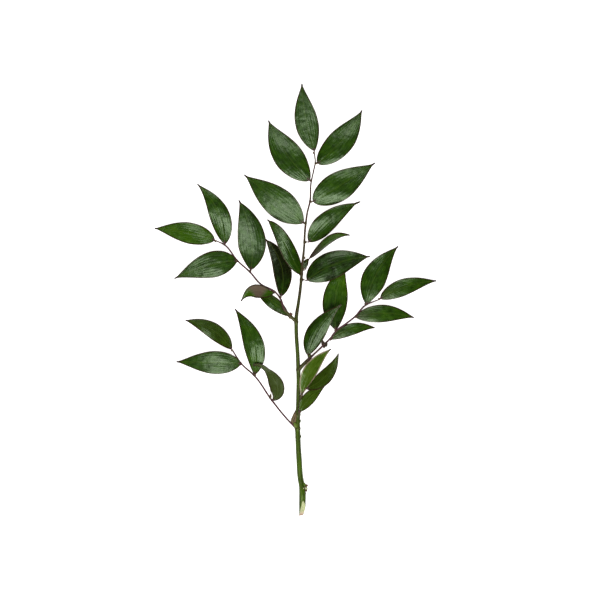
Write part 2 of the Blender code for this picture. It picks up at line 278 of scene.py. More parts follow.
def youngBarkMaterial(name, green, shade, brown, sheen, roughness):
    # green and shade are the young bark, brown is what it turns to, sheen tints the highlight
    look = barkColours
    material, add, shader = newMaterial(name, roughness, 1.45)
    plug(shader, {"Specular Tint": linear(sheen)})
    lengthMm, aroundX, aroundY, browning, nearNode, pallor = readValues(
        add, "lengthMm", "aroundX", "aroundY", "browning", "nearNode", "pallor"
    )
    place = add("TexCoord", output="Object")
    grain = add("CombineXYZ", {"X": aroundX, "Y": aroundY, "Z": lengthMm})
    grainScale = (1 / look["ridgeWidth"], 1 / look["ridgeWidth"], 1 / look["ridgeLength"])
    grain = add("Mapping", {"Vector": grain, "Scale": grainScale})
    fibre = add("TexNoise", {"Vector": grain, "Scale": 1.0, "Detail": 3.0})
    patch, fleck = [
        add("TexNoise", {"Vector": place, "Scale": 1 / (look[size] * mm), "Detail": detail})
        for size, detail in (("patchSize", 3.0), ("fleckSize", 2.0))
    ]
    deep = add("MapRange", {0: fibre, 1: 0.32, 2: 0.66, 3: 0.0, 4: 1.0}, **smoothStep)
    bark = add("Mix", {0: deep, 6: linear(shade), 7: linear(green)}, **colourMix)
    # the pale young colour: young tissue on the knobs, and a painted highlight along the main stem's top
    bark = add("Mix", {0: pallor, 6: bark, 7: linear(look["young"])}, **colourMix)
    patchy = add("Math", {0: patch, 1: 1.0, 2: -0.5}, operation="MULTIPLY_ADD")
    share = add("Math", {0: browning, 1: patchy}, operation="ADD", use_clamp=True)
    ripe = add("MapRange", {0: browning, 1: 0.65, 2: 0.9, 3: 0.0, 4: 1.0}, **smoothStep)
    dark = add("Mix", {0: ripe, 6: linear(brown), 7: linear(look["purple"])}, **colourMix)
    bark = add("Mix", {0: share, 6: bark, 7: dark}, **colourMix)
    ringShare = add("Math", {0: nearNode, 1: 0.6}, operation="MULTIPLY")
    bark = add("Mix", {0: ringShare, 6: bark, 7: linear(look["node"])}, **colourMix)
    spots = add("MapRange", {0: fleck, 1: 0.62, 2: 0.74, 3: 0.0, 4: 0.35}, **smoothStep)
    bark = add("Mix", {0: spots, 6: bark, 7: linear(look["fleck"])}, **colourMix)
    dull = add("MapRange", {0: patch, 1: 0.3, 2: 0.7, 3: roughness - 0.06, 4: roughness + 0.08})
    height = add("Math", {0: fleck, 1: 0.4, 2: fibre}, operation="MULTIPLY_ADD")
    bump = add("Bump", {"Strength": 0.8, "Distance": look["reliefDepth"] * mm, "Height": height})
    plug(shader, {"Base Color": bark, "Roughness": dull, "Normal": bump})
    return material


# Green ruscus wood, cut with secateurs. It gives the eye a pale fibrous face, pinker at the low end.
woodColours = {
    "pale": "#dfe3ac",
    "green": "#bcc88a",
    "end": "#d8b3a4",          # at the low end of the cut
    "edge": "#8c9656",         # next to the bark
    "fibreWidth": 0.5,
    "fibreLength": 6.0,
    "reliefDepth": 0.2,
}


def freshCutWoodMaterial():
    look = woodColours
    material, add, shader = newMaterial("freshCutGreenWood", 0.58, 1.5)
    place = add("TexCoord", output="Object")
    toRim, browning = readValues(add, "toRim", "browning")
    scale = (1 / (look["fibreWidth"] * mm), 1 / (look["fibreLength"] * mm), 1 / (look["fibreWidth"] * mm))
    grain = add("Mapping", {"Vector": place, "Scale": scale})
    fibre = add("TexNoise", {"Vector": grain, "Scale": 1.0, "Detail": 4.0})
    wood = add("ValToRGB", {"Fac": fibre}, stops=[(0.3, look["green"]), (0.6, look["pale"])])
    wood = add("Mix", {0: browning, 6: wood, 7: linear(look["end"])}, **colourMix)
    edge = add("MapRange", {0: toRim, 1: 0.86, 2: 1.0, 3: 0.0, 4: 0.6}, **smoothStep)
    wood = add("Mix", {0: edge, 6: wood, 7: linear(look["edge"])}, **colourMix)
    bump = add("Bump", {"Strength": 0.9, "Distance": look["reliefDepth"] * mm, "Height": fibre})
    plug(shader, {"Base Color": wood, "Normal": bump})
    return material


# Dry scale leaf that sheathes each node. It gives the eye a matt brown papery skin, striped lengthwise.
scaleColours = {
    "pale": "#8a7652",
    "brown": "#342616",
    "dark": "#2a1e12",         # the point
    "stripeWidth": 0.7,
    "stripeLength": 9.0,
    "reliefDepth": 0.12,
}


def dryScaleMaterial():
    look = scaleColours
    material, add, shader = newMaterial("dryPaperyScaleLeaf", 0.72, 1.45)
    along, acrossMm, lengthMm, seed, tone = readValues(add, "along", "acrossMm", "lengthMm", "seed", "tone")
    grain = add("CombineXYZ", {"X": acrossMm, "Y": lengthMm, "Z": seed})
    scale = (1 / look["stripeWidth"], 1 / look["stripeLength"], 1.0)
    grain = add("Mapping", {"Vector": grain, "Scale": scale})
    stripe = add("TexNoise", {"Vector": grain, "Scale": 1.0, "Detail": 3.0})
    level = add("Math", {0: stripe, 1: tone}, operation="ADD")
    skin = add("ValToRGB", {"Fac": level}, stops=[(0.42, look["brown"]), (0.62, look["pale"])])
    point = add("MapRange", {0: along, 1: 0.6, 2: 0.95, 3: 0.0, 4: 0.9}, **smoothStep)
    skin = add("Mix", {0: point, 6: skin, 7: linear(look["dark"])}, **colourMix)
    bump = add("Bump", {"Strength": 0.9, "Distance": look["reliefDepth"] * mm, "Height": stripe})
    plug(shader, {"Base Color": skin, "Normal": bump})
    return material


print("ruscus: mixing the materials")
materials = {
    "leaf": preservedLeafMaterial(),
    "stemBark": youngBarkMaterial("youngGreenRuscusBark", "#4e7009", "#273d03", "#35261a", "#ecffbe", 0.4),
    # Twig bark, thinner and stained purple-brown: almost matt, with the leaf stalks the same.
    "twigBark": youngBarkMaterial(
        "purpleBrownRuscusTwigBark", "#566026", "#3a3a16", "#532e38", "#ffeaec", 0.5
    ),
    # Callus, the corky reddish-brown skin that grows over a cut: dry and matt.
    "callus": youngBarkMaterial("dryCallusBark", "#84543c", "#5c3222", "#5f3626", "#ffffff", 0.65),
    "wood": freshCutWoodMaterial(),
    "scale": dryScaleMaterial(),
}


def unit(vectors):
    return vectors / np.maximum(np.linalg.norm(vectors, axis=-1, keepdims=True), 1e-6)


def breadth(share, widest, sharpness, tail, bluntness):
    # half width along a blade as a share of its greatest: a blunt foot, and a tip that narrows to a tail
    body = np.minimum(share / (1 - tail), 1)
    power = sharpness * widest / (1 - widest)
    greatest = widest ** power * (1 - widest) ** sharpness
    tip = body ** power * (1 - body) ** sharpness / greatest
    foot = (1 - np.clip(1 - body / widest, 0, 1) ** 2) ** bluntness
    return np.where(body < widest, foot, tip)


def slowWaves(share, count, random):
    # a slow wander between about -1 and 1
    total = np.zeros_like(share)
    for wave in range(1, count + 1):
        total = total + np.sin(2 * math.pi * (wave * share + random.random())) / wave
    return total / 1.5


def midribAt(leaf, share):
    # the midrib is a Bezier curve from the foot, leaning to one or two bends, to the point
    s = np.atleast_1d(share)[:, None]
    points = [np.array(p, float) * np.ones_like(s) for p in (leaf["foot"], *leaf["bends"], leaf["point"])]
    while len(points) > 1:
        points = [a * (1 - s) + b * s for a, b in zip(points, points[1:])]
    return points[0]


def leafBlade(leaf, look):
    # one blade as a closed shell: an upper and a lower sheet and a rounded rim between them
    random = np.random.default_rng(leaf["seed"])
    rows, columns = look["rows"], look["columns"]
    even = np.linspace(0, 1, rows + 1)
    share = 0.45 * even + 0.55 * (1 - np.cos(math.pi * even)) / 2
    crowding = look["crowding"] * math.pi / 2
    across = np.sin(np.linspace(1, -1, columns + 1) * crowding) / math.sin(crowding)
    middle = midribAt(leaf, share)
    ahead = np.gradient(middle, share, axis=0)
    left = unit(np.stack([-ahead[:, 1], ahead[:, 0], 0 * share], axis=1))
    sharpness = leaf["sharpness"] or look["tipSharpness"]
    bluntness = leaf["bluntness"] or look["footBluntness"]
    spread = breadth(share, leaf["widest"], sharpness, leaf["tail"], bluntness)
    tipHalf = look["tipHalfWidth"] * share * np.clip(9.5 - 9 * share, 0.5, 1)
    ends = look["footHalfWidth"] * (1 - share) + tipHalf
    half = leaf["halfWidth"] * spread + ends
    leftHalf = half * (1 + look["marginWander"] * slowWaves(share, 6, random))
    rightHalf = half * (1 + look["marginWander"] * slowWaves(share, 6, random))
    halfHere = np.where(across[None, :] > 0, leftHalf[:, None], rightHalf[:, None])
    u = across[None, :]
    s = share[:, None]
    offset = u * halfHere
    roll = np.radians(np.interp(share, *zip(*leaf["roll"])))[:, None, None]
    ahead = unit(ahead)
    up = np.cross(ahead, left)[:, None, :]
    level = left[:, None, :]
    sideways = level * np.cos(roll) + up * np.sin(roll)
    upward = np.array([0, 0, 1.0]) * np.cos(roll) - level * np.sin(roll)
    lift = (leaf["tilt"] * u + leaf["cup"] * u ** 2) * spread[:, None]
    lift = lift + leaf["twist"] * (s - 0.5) * u * spread[:, None]
    leftRipple = slowWaves(share, 4, random)[:, None]
    rightRipple = slowWaves(share, 4, random)[:, None]
    rippleHere = np.where(u > 0, leftRipple, rightRipple) * np.abs(u) ** 2.5
    lift = lift + look["ripple"] * leaf["ripple"] * rippleHere * spread[:, None]
    swell = slowWaves(s + 0.3 * u, 3, random) * slowWaves(0.5 * u + 0.2 * s, 2, random)
    lift = lift + look["bulge"] * swell * spread[:, None]
    centre = middle[:, None, :] + sideways * offset[..., None] + upward * lift[..., None]
    alongEdge = np.gradient(centre, axis=0)
    acrossEdge = np.gradient(centre, axis=1)
    normal = unit(np.cross(acrossEdge, alongEdge))

    narrow = np.clip(half / look["reliefFade"], 0, 1)[:, None]
    groove = np.exp(-(offset / look["grooveWidth"]) ** 2) * np.clip(1.15 - s, 0, 1)
    veins = np.cos(2 * math.pi * look["mainVeins"] * np.abs(u) ** 0.9) * (1 - np.abs(u) ** 4) * narrow
    thickness = look["marginThickness"] + (look["thickness"] - look["marginThickness"]) * (1 - np.abs(u) ** 3)
    thickness = thickness * (0.55 + 0.45 * narrow)
    topHeight = thickness / 2 - look["grooveDepth"] * groove * narrow + look["veinRelief"] * veins
    lowHeight = thickness / 2 + look["ribHeight"] * groove * (1 - 0.7 * s) + 0.6 * look["veinRelief"] * veins
    top = centre + normal * topHeight[..., None]
    low = centre - normal * lowHeight[..., None]

    wide = columns + 1
    index = np.arange((rows + 1) * wide).reshape(rows + 1, wide)
    loop = list(index[0, :-1]) + list(index[:-1, -1]) + list(index[-1, :0:-1]) + list(index[:0:-1, 0])
    inner = {}
    for i, j in [divmod(int(k), wide) for k in loop]:
        inner[i * wide + j] = min(max(i, 1), rows - 1) * wide + min(max(j, 1), columns - 1)
    flatTop, flatLow = top.reshape(-1, 3), low.reshape(-1, 3)
    flatCentre = centre.reshape(-1, 3)
    loopArray = np.array([int(k) for k in loop])
    innerArray = np.array([inner[int(k)] for k in loop])
    outward = unit(flatCentre[loopArray] - flatCentre[innerArray])
    rimHalf = np.linalg.norm(flatTop[loopArray] - flatLow[loopArray], axis=1)[:, None] / 2
    rim = (flatTop[loopArray] + flatLow[loopArray]) / 2 + outward * rimHalf * look["rimBulge"]
    points = np.concatenate([flatTop, flatLow, rim])
    count = flatTop.shape[0]

    a, b = index[:-1, :-1].ravel(), index[:-1, 1:].ravel()
    c, d = index[1:, 1:].ravel(), index[1:, :-1].ravel()
    upper = np.stack([a, b, c, d], axis=1)
    lower = np.stack([d, c, b, a], axis=1) + count
    p = loopArray
    q = np.roll(p, -1)
    rimP = 2 * count + np.arange(len(p))
    rimQ = np.roll(rimP, -1)
    wallLow = np.stack([p + count, q + count, rimQ, rimP], axis=1)
    wallTop = np.stack([rimP, rimQ, q, p], axis=1)
    faces = np.concatenate([upper, lower, wallLow, wallTop])

    length = np.linalg.norm(np.diff(middle, axis=0), axis=1).sum()
    fromMargin = halfHere * (1 - np.abs(u)) + 0 * s
    shape = (rows + 1, wide)
    values = {                 # what the leaf material reads
        "along": np.broadcast_to(s, shape),
        "acrossMm": np.broadcast_to(u * leaf["halfWidth"], shape),
        "lengthMm": np.broadcast_to(s * length, shape),
        "marginMm": fromMargin,
        "ribMm": offset,
    }
    turned = np.broadcast_to(leaf["turnedShare"](s, u) if leaf["turnedShare"] else 0 * (s + u), shape)
    attributes = {}
    for name, value in values.items():
        flat = value.ravel()
        attributes[name] = np.concatenate([flat, flat, flat[loopArray]])
    flat = turned.ravel()
    attributes["turned"] = np.concatenate([flat, 1 - flat, flat[loopArray]])
    total = len(points)
    for name in ("bloom", "olive", "paleRim", "dull"):
        attributes[name] = np.full(total, leaf[name])
    footTone, tipTone = leaf["tone"] if isinstance(leaf["tone"], tuple) else (leaf["tone"], leaf["tone"])
    attributes["tone"] = footTone + (tipTone - footTone) * attributes["along"]
    attributes["seed"] = np.full(total, leaf["seed"] * 7.3)
    return {"points": points, "faces": faces.tolist(), "attributes": attributes}


def smoothRoute(route, spacing):
    # a smooth curve through the points (x, y, z, radius) of a stem, sampled about every spacing mm
    knots = np.array(route, float)
    gaps = np.linalg.norm(np.diff(knots[:, :3], axis=0), axis=1)
    at = np.concatenate([[0], np.cumsum(gaps)])
    slopes = np.gradient(knots, at, axis=0, edge_order=1)
    samples = np.linspace(0, at[-1], max(int(at[-1] / spacing), 6) + 1)
    cell = np.clip(np.searchsorted(at, samples, side="right") - 1, 0, len(at) - 2)
    width = (at[cell + 1] - at[cell])[:, None]
    t = (samples - at[cell])[:, None] / width
    first, second = knots[cell], knots[cell + 1]
    smooth = (
        (2 * t ** 3 - 3 * t ** 2 + 1) * first + (t ** 3 - 2 * t ** 2 + t) * width * slopes[cell]
        + (3 * t ** 2 - 2 * t ** 3) * second + (t ** 3 - t ** 2) * width * slopes[cell + 1]
    )
    return smooth, samples


def stemTube(samples, distance, sides, ridges, ridgeDepth, browning, nodes=(), seed=1, edgeBrownAndShade=0, band=0):
    # a round stem through the samples (x, y, z, radius), ridged along its length and swollen at its nodes;
    # the side browning browns and darkens its two sides, the right one more, partly brown bark and partly
    # painted shade, and the band paints a highlight as a paler line along its top
    random = np.random.default_rng(seed)
    centre, radius = samples[:, :3], samples[:, 3].copy()
    nearNode = np.zeros(len(radius))
    for node in nodes:
        here = np.exp(-((distance - node) / stemLook["nodeLength"]) ** 2)
        nearNode = np.maximum(nearNode, here)
    radius = radius * (1 + stemLook["nodeSwelling"] * nearNode)
    ahead = unit(np.gradient(centre, axis=0))
    side = unit(np.cross(ahead, [0, 0, 1]))
    up = np.cross(side, ahead)
    angle = 2 * math.pi * (np.arange(sides) + 0.5) / sides
    drift = slowWaves(distance / max(distance[-1], 1), 3, random)[:, None]
    ridged = 1 + ridgeDepth * np.cos(ridges * angle[None, :] + 1.2 * drift)
    lumps = 1 + 0.03 * np.sin(angle[None, :] + 0.9 * distance[:, None] / 4 + random.random() * 6)
    reach = radius[:, None] * ridged * lumps
    outward = np.sin(angle)[None, :, None] * side[:, None, :] - np.cos(angle)[None, :, None] * up[:, None, :]
    points = centre[:, None, :] + outward * reach[..., None]
    points[..., 2] = np.maximum(points[..., 2], stemLook["tableGap"])
    rings = len(radius)
    index = np.arange(rings * sides).reshape(rings, sides)
    following = np.roll(index, -1, axis=1)
    walls = np.stack([index[:-1], index[1:], following[1:], following[:-1]], axis=2).reshape(-1, 4)
    faces = walls.tolist() + [index[0].tolist(), index[-1][::-1].tolist()]
    shape = (rings, sides)
    toRight = outward[..., 0]
    # partly brown bark and partly painted shade: the two sides browner and darker, the right one more
    edged = browning[:, None] + edgeBrownAndShade * np.where(toRight > 0, 1.0, 0.7) * toRight ** 2
    edged = np.maximum(browning[:, None], np.minimum(edged, 0.64))
    attributes = {
        # a painted highlight: a paler line along the top, a little to the left
        "pallor": (band * np.exp(-((toRight + 0.3) / 0.28) ** 2)).ravel(),
        "lengthMm": np.broadcast_to(distance[:, None], shape).ravel(),
        "aroundX": (np.cos(angle)[None, :] * radius[:, None]).ravel(),
        "aroundY": (np.sin(angle)[None, :] * radius[:, None]).ravel(),
        "browning": edged.ravel(),
        "nearNode": np.broadcast_to(nearNode[:, None], shape).ravel(),
    }
    return {"points": points.reshape(-1, 3), "faces": faces, "attributes": attributes}


def makePiece(name, shells, node, sharpAngle=50):
    # joins the shells into one piece that stands for the CAD node; with each comes its material, or the
    # list of its faces' materials
    points, faces, faceMaterial, offset = [], [], [], 0
    used = []
    names = sorted({key for shell, material in shells for key in shell["attributes"]})
    values = {key: [] for key in names}
    for shell, material in shells:
        kinds = material if isinstance(material, list) else [material] * len(shell["faces"])
        used += [kind for kind in dict.fromkeys(kinds) if kind not in used]
        count = len(shell["points"])
        points.append(shell["points"])
        faces += [[k + offset for k in face] for face in shell["faces"]]
        faceMaterial += [used.index(kind) for kind in kinds]
        for key in names:
            values[key].append(shell["attributes"].get(key, np.zeros(count)))
        offset += count
    mesh = bpy.data.meshes.new(name)
    mesh.from_pydata((np.concatenate(points) * mm).tolist(), [], faces)
    for key in names:
        attribute = mesh.attributes.new(key, "FLOAT", "POINT")
        attribute.data.foreach_set("value", np.concatenate(values[key]).astype(np.float32))
    for kind in used:
        mesh.materials.append(materials[kind])
    mesh.polygons.foreach_set("material_index", faceMaterial)
    mesh.shade_smooth()
    mesh.set_sharp_from_angle(angle=math.radians(sharpAngle))
    piece = bpy.data.objects.new(name, mesh)
    bpy.context.scene.collection.objects.link(piece)
    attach(piece, "root")
    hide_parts(node)


def leaf(foot, bend, point, halfWidth, widest, tilt, cup, tone, **looks):
    # widest is the share of the length where the blade is broadest; tilt lifts the left edge, seen from the
    # foot, and lowers the right one; cup lifts both edges; twist turns the blade along its length; roll gives
    # degrees of turning about the midrib at shares of the length; tail is the thin point's share; tone runs
    # from dark 0 to light 1, or from foot to point; dull wears the wax off; paleRim dries the margin
    made = {
        "foot": foot, "bends": bend if isinstance(bend, list) else [bend], "point": point,
        "halfWidth": halfWidth, "widest": widest, "tilt": tilt, "cup": cup, "tone": tone, "twist": 0.0,
        "ripple": 1.0, "bloom": 0.0, "olive": 0.0, "paleRim": 0.0, "dull": 0.0, "turnedShare": None,
        "roll": [(0, 0), (1, 0)], "stalk": [], "tail": 0.045, "sharpness": None, "bluntness": None,
    }
    return {**made, **looks}


def curledShare(s, u):
    # where the curled leaf shows its underside: the middle of its length
    return np.clip(7 * (s - 0.26 - 0.08 * u), 0, 1) * np.clip(7 * (0.77 - 0.1 * u - s), 0, 1)


def nearestOn(samples, place):
    # the sample of a stem that lies nearest to a leaf's foot
    return int(np.argmin(np.linalg.norm(samples[:, :3] - np.array(place, float), axis=1)))


def leafStalk(samples, spring, leafLook):
    # the short stalk from the stem to the blade, which runs on below it as the root of the midrib
    reach = stemLook["petioleReach"]
    near = midribAt(leafLook, reach / 3)[0]
    end = midribAt(leafLook, reach)[0]
    foot = np.array(leafLook["foot"], float)
    start = samples[spring, :3]
    radius = stemLook["petioleRadius"]
    between = leafLook["stalk"] or [0.5 * start + 0.5 * foot]
    route = [(*start, radius * 0.9)] + [(*place, radius * 0.85) for place in between] + [
        (*foot, radius), (*(near - [0, 0, 0.25]), radius * 0.85), (*(end - [0, 0, 0.45]), radius * 0.25),
    ]
    stalk, distance = smoothRoute(route, 0.35)
    share = distance / distance[-1]
    return stemTube(stalk, distance, stemLook["petioleSides"], 0, 0, 0.95 - 0.55 * share ** 2)


mainShoot = {
    "node": "main_leafy_stem",
    "slot": "glossy_green_leaf",
    # how brown the bark is, by the height along the spray
    "brownAt": [(-220, 0.0), (-135, 0.05), (-115, 0.25), (-28, 0.42), (-14, 0.7), (60, 0.82), (150, 0.95)],
    "route": [
        (7.2, -216.0, 3.1, 3.4), (7.3, -204.5, 3.4, 3.6), (6.6, -196.0, 3.0, 3.2),
        (5.3, -188.0, 2.8, 3.1), (4.0, -173.0, 2.7, 3.0), (2.9, -152.0, 2.7, 2.8),
        (2.1, -134.0, 2.6, 2.8), (2.6, -115.0, 2.8, 2.5), (3.1, -94.0, 3.3, 2.3), (2.9, -73.0, 4.2, 2.2),
        (1.9, -52.0, 5.4, 2.1), (0.7, -30.0, 6.8, 2.05), (0.9, -18.0, 7.6, 2.0), (2.7, -5.0, 8.4, 1.75),
        (5.2, 13.0, 9.4, 1.6), (6.9, 34.0, 10.5, 1.4), (8.9, 55.0, 11.4, 1.15), (10.4, 78.0, 12.1, 1.1),
        (12.3, 91.5, 12.5, 0.95), (15.2, 104.0, 12.8, 0.95), (16.1, 122.0, 13.0, 0.8),
        (18.8, 135.0, 13.0, 0.75), (20.7, 145.0, 13.0, 0.7), (19.6, 155.0, 13.0, 0.65),
    ],
    "leaves": [
        leaf(
            (19.9, 156.7, 13), [(11.8, 179.8, 18.6), (7.4, 203.1, 23.2)], (6.7, 226.4, 27.4), 11.3, 0.42,
            -1, -0.6, 0.36, twist=-4, bluntness=0.85, dull=0.12, ripple=0.3,
        ),
        leaf(
            (23.1, 143.6, 13), (55.5, 169.0, 22), (69.9, 199.6, 8), 12.8, 0.40, -1.8, -2, 0.4, twist=-2,
            bluntness=0.62,
        ),
        leaf(
            (14.7, 125.7, 13), [(-6.2, 146.0, 20.7), (-20.5, 167.1, 15)], (-28.4, 189.0, 6), 14.5, 0.41,
            1, -1.6, 0.4, twist=4.3,
        ),
        leaf(
            (18.4, 103.7, 13), (51.4, 122.0, 22.5), (83.7, 144.4, 8), 14.6, 0.40, -0.2, -1.2, 0.42,
            twist=-9.5, tail=0.055, bluntness=0.62,
        ),
        leaf(
            (8.4, 81.1, 12.5), [(-12.3, 97.7, 16), (-33.1, 114.6, 22)], (-53.9, 131.7, 12), 14.7, 0.41,
            -3.4, -0.8, 0.42, twist=4, bluntness=0.8, dull=0.15,
        ),
        leaf(
            (14.2, 61.2, 12), (33.8, 89.5, 28), (68.0, 103.4, 18), 9.9, 0.37, 3.1, -2, 0.35, twist=-4,
            tail=0.09, sharpness=1.0,
        ),
        leaf(
            (14.6, 44.0, 11.5), [(27.8, 56.4, 15.5), (37.4, 71.9, 18)], (57.0, 68.2, 14), 3.2, 0.55, 5,
            -1, 0.5, bloom=1.0, stalk=[(9.6, 31.8, 10.8), (12.2, 38.0, 11.2)],
        ),
        leaf(
            (12.2, 20.9, 11.5), (38.0, 42.8, 16), (78.4, 45.9, 9), 13.6, 0.42, -0.3, -3.2, 0.2, twist=4,
            sharpness=1.05,
        ),
        leaf(
            (7.0, 27.0, 10.2), [(-7.7, 45.0, 13), (-11.9, 70.6, 24)], (-29.6, 84.4, 20), 7.3, 0.4, -0.1,
            -1, 0.35, twist=-10, sharpness=0.8,
        ),
        leaf((8.4, 33.0, 10.8), (10.0, 38.5, 12.6), (13.1, 43.6, 12.2), 2.2, 0.45, 0, -0.3, 0.2),
    ],
}

sideShoots = {
    "upperLeft": {
        "node": "upper_left_leafy_shoot",
        "slot": "glossy_green_leaf",
        "greenBase": 15.0,     # mm of green bark before the purple
        "route": [
            (1.0, -23.0, 7.4, 1.7), (-2.6, -19.5, 8.0, 1.8), (-6.5, -15.6, 8.6, 1.75),
            (-11.8, -9.4, 9.2, 1.3), (-15.7, 1.4, 9.8, 1.0), (-21.5, 8.7, 10.4, 1.0),
            (-37.0, 17.3, 11.0, 0.95), (-47.8, 29.6, 11.2, 0.95), (-61.0, 41.5, 10.8, 0.9),
            (-74.3, 58.0, 10.0, 0.8), (-84.0, 62.8, 9.2, 0.6),
        ],
        "leaves": [
            leaf(
                (-85.0, 63.3, 9), (-115.2, 73.5, 12), (-148.2, 75.5, 5), 10.4, 0.42, 0.9, -1.2, 0.6,
                twist=-7, dull=-0.1,
            ),
            leaf(
                (-74.3, 59.4, 10.3), (-74.3, 96.2, 28), (-102.8, 121.6, 18), 9.9, 0.40, -1.2, -1, 0.4,
                twist=4,
            ),
            leaf(
                (-61.4, 41.2, 10.5), (-90.8, 40.2, 20), (-127.4, 22.8, 5), 12.9, 0.40, -1.7, -0.6, 0.36,
                twist=-3, bluntness=0.75, dull=0.1,
            ),
            leaf(
                (-47.0, 31.8, 11.4), [(-42.7, 57.5, 7.5), (-47.0, 81.9, 24)], (-59.4, 104.8, 20), 13.9,
                0.41, 0.2, -1.6, 0.32, bluntness=0.85, sharpness=1.05, dull=0.15,
            ),
            # tone darkens this leaf from foot to point: a painted shadow cast by the main stem's leaf that
            # lies over it
            leaf(
                (-15.4, 4.4, 9.4), (-6.4, 38.0, 7), (-31.8, 64.5, 3), 8.7, 0.42, 3, -1, (0.3, -0.5),
                sharpness=0.85,
            ),
            leaf(
                (-21.5, 9.7, 10.4), [(-31.5, 1.6, 14), (-44.9, 20.2, 19)], (-57.1, -1.0, 12), 6.2, 0.57,
                2, 2, 0.6, turnedShare=curledShare, bluntness=1.2, sharpness=1.35,
            ),
            leaf(
                (-6.6, -17.0, 8.4), (-22.6, -2.0, 5), (-43.6, 11.8, 3), 5.6, 0.5, 4, -1, 0.5, bloom=0.25,
                bluntness=1.0,
            ),
        ],
    },
    "lowerLeft": {
        "node": "lower_left_leafy_shoot",
        "slot": "glossy_green_leaf",
        "greenBase": 2.0,
        "route": [
            (1.8, -135.0, 2.8, 2.0), (-1.5, -131.8, 3.2, 1.7), (-5.0, -129.0, 3.9, 1.1),
            (-12.3, -121.0, 5.0, 1.0), (-25.0, -105.0, 6.8, 1.0), (-43.0, -79.5, 8.4, 0.95),
            (-57.0, -66.5, 8.8, 0.9), (-66.6, -52.0, 8.4, 0.7),
        ],
        "leaves": [
            leaf(
                (-67.2, -51.2, 8.4), (-84.9, -25.6, 14), (-115.8, -21.2, 3), 7.6, 0.43, 5.5, -1, 0.48,
                olive=0.35, bluntness=0.75, sharpness=1.05,
            ),
            leaf(
                (-57.2, -66.4, 8.8), (-90.5, -64.8, 18), (-125.4, -64.8, 1), 11.3, 0.40, -2.5, -0.3, 0.4,
                twist=-2, dull=0.14,
            ),
            leaf(
                (-43.1, -78.0, 8.4), [(-36.6, -51.6, 21.5), (-49.2, -28.6, 24)], (-63.7, -9.0, 5), 9.9,
                0.40, -1.8, -1, (0.55, 0.35), bluntness=0.8,
            ),
            leaf(
                (-24.7, -105.3, 7), [(-8.0, -97.0, 8.4), (-31.6, -61.3, 14.2)], (-44.6, -68.4, 17), 6.8,
                0.32, 1, 0.5, 0.32, olive=0.75, twist=-5, dull=0.9,
                roll=[(0, 0), (0.35, 0), (0.5, -35), (0.67, -62), (0.8, -50), (1, -20)], bluntness=1.2,
            ),
        ],
    },
    "right": {
        "node": "right_leafy_shoot",
        "slot": "glossy_green_leaf",
        "greenBase": 11.0,
        "route": [
            (3.2, -73.2, 4.4, 2.2), (6.6, -69.4, 5.0, 2.0), (14.2, -61.7, 6.5, 1.75),
            (17.0, -58.9, 6.9, 1.25), (24.1, -52.3, 7.8, 1.0), (30.8, -45.8, 8.6, 1.1),
            (36.5, -40.2, 9.2, 1.0), (42.5, -32.5, 9.6, 1.0), (52.5, -25.0, 10.2, 0.95),
            (62.0, -17.5, 10.4, 0.95), (74.5, -4.5, 10.2, 0.9), (81.9, -1.4, 9.8, 0.7),
            (88.4, 1.0, 9.2, 0.55),
        ],
        "leaves": [
            leaf(
                (89.2, 1.8, 9), (115.7, 18.8, 14), (148.2, 20.4, 2), 8.1, 0.40, -0.2, -1, 0.45, bloom=0.2,
            ),
            leaf(
                (74.5, -4.5, 10), (79.8, 31.8, 20), (108.1, 56.8, 3), 12.0, 0.41, 0, -2, 0.38, twist=6,
                bluntness=0.95,
            ),
            leaf(
                (63.5, -17.6, 10), (97.1, -9.7, 13), (124.6, -18.3, 0.8), 8.5, 0.40, -0.6, -1, 0.45,
                bloom=0.25,
            ),
            # tone darkens this leaf's foot, a painted shade, and lightens the rest of it, partly its own
            # lighter green and partly a painted sheen
            leaf(
                (42.5, -31.2, 9.5), (36.6, 4.8, 11), (52.7, 38.8, 3), 12.3, 0.44, 0.5, -1.5, (0.1, 0.85),
                bluntness=0.9,
            ),
            leaf(
                (36.8, -40.7, 9.2), (60.4, -25.2, 14), (83.4, -29.0, 4), 5.7, 0.42, -0.3, -1, 0.4,
                bloom=0.25,
            ),
            leaf(
                (12.9, -57.8, 7.2), (18.4, -27.2, 14.5), (48.0, -4.6, 20), 9.3, 0.40, -1.2, -2, 0.3,
                bluntness=0.8, dull=0.1,
            ),
        ],
    },
    "lowerRight": {
        "node": "lower_right_leafy_shoot",
        "slot": "olive_green_leaf",
        "greenBase": 26.0,
        "route": [
            (3.2, -120.5, 5.2, 1.1), (3.6, -117.5, 6.2, 1.0), (4.6, -110.0, 7.6, 1.0),
            (6.3, -100.5, 8.6, 1.0), (9.4, -92.5, 9.2, 0.95), (15.0, -85.0, 9.4, 0.7),
        ],
        "leaves": [
            leaf(
                (6.3, -99.5, 9), (11.9, -69.0, 17), (37.3, -51.2, 8), 6.7, 0.45, 3, -1, 0.9, olive=0.4,
                bluntness=1.05, paleRim=0.6,
            ),
            leaf(
                (11.8, -93.0, 9.6), (37.0, -82.5, 17), (45.1, -56.0, 8), 6.6, 0.42, -4, -1, (0.3, 0.6),
                olive=0.45,
            ),
            leaf(
                (3.9, -117.0, 7.4), (14.2, -99.4, 9.6), (32.0, -88.7, 4), 5.9, 0.42, 3, -0.5, 0.68,
                olive=0.45,
            ),
        ],
    },
}


